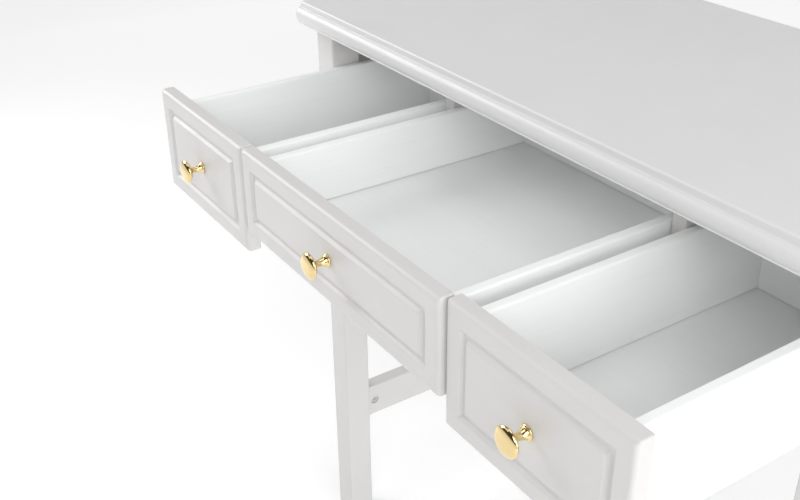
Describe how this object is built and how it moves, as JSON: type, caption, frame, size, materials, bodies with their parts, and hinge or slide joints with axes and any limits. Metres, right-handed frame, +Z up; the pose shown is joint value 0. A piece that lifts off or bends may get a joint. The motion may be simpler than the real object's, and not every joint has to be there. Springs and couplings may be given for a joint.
{
  "type": "dressing table",
  "caption": "Narrow white dressing table on square legs, with a moulded top and routed drawer fronts on round gold knobs, drawers part open.",
  "frame": {"origin": "on the floor, under the middle of the object's whole outline with its drawers as stored", "axes": "+X to the right of a person facing the drawers, +Y away from that person towards the back, +Z up"},
  "size_m": [0.8, 0.6112, 0.78],
  "materials": {
    "paint_white": "satin white paint on board",
    "top_white": "satin white paint on board",
    "drawer_white": "matt white foil on board",
    "knob_gold": "polished gold plate",
    "fitting_steel": "zinc plated",
    "glide_plastic": "moulded"
  },
  "bodies": {
    "carcass": {"apron_back": "paint_white", "apron_left": "paint_white", "apron_right": "paint_white", "cam_dowel_front_left": "fitting_steel", "cam_dowel_front_right": "fitting_steel", "cam_dowel_rear_left": "fitting_steel", "cam_dowel_rear_right": "fitting_steel", "cam_lock_front_left": "fitting_steel", "cam_lock_front_right": "fitting_steel", "cam_lock_rear_left": "fitting_steel", "cam_lock_rear_right": "fitting_steel", "divider_left": "paint_white", "divider_right": "paint_white", "foot_glide_front_left": "glide_plastic", "foot_glide_front_right": "glide_plastic", "foot_glide_rear_left": "glide_plastic", "foot_glide_rear_right": "glide_plastic", "front_rail": "paint_white", "leg_front_left": "paint_white", "leg_front_right": "paint_white", "leg_rear_left": "paint_white", "leg_rear_right": "paint_white", "runner_middle_left": "drawer_white", "runner_middle_right": "drawer_white", "runner_outer_left": "drawer_white", "runner_outer_right": "drawer_white", "runner_side_left": "drawer_white", "runner_side_right": "drawer_white", "stretcher_left": "paint_white", "stretcher_right": "paint_white", "table_top": "top_white"},
    "left_drawer": {"left_drawer_front": "paint_white", "left_drawer_side_left": "drawer_white", "left_drawer_side_right": "drawer_white", "left_drawer_back": "drawer_white", "left_drawer_bottom": "drawer_white", "left_drawer_knob": "knob_gold", "left_drawer_knob_screw": "fitting_steel"},
    "middle_drawer": {"middle_drawer_front": "paint_white", "middle_drawer_side_left": "drawer_white", "middle_drawer_side_right": "drawer_white", "middle_drawer_back": "drawer_white", "middle_drawer_bottom": "drawer_white", "middle_drawer_knob": "knob_gold", "middle_drawer_knob_screw": "fitting_steel"},
    "right_drawer": {"right_drawer_front": "paint_white", "right_drawer_side_left": "drawer_white", "right_drawer_side_right": "drawer_white", "right_drawer_back": "drawer_white", "right_drawer_bottom": "drawer_white", "right_drawer_knob": "knob_gold", "right_drawer_knob_screw": "fitting_steel"}
  },
  "joints": [
    {"name": "left_drawer_slide", "type": "slide", "parent": "carcass", "child": "left_drawer", "axis": [0, 1, 0], "range_m": [-0.047, 0.1915]},
    {"name": "middle_drawer_slide", "type": "slide", "parent": "carcass", "child": "middle_drawer", "axis": [0, 1, 0], "range_m": [-0.047, 0.1915]},
    {"name": "right_drawer_slide", "type": "slide", "parent": "carcass", "child": "right_drawer", "axis": [0, 1, 0], "range_m": [-0.052, 0.1865]}
  ]
}
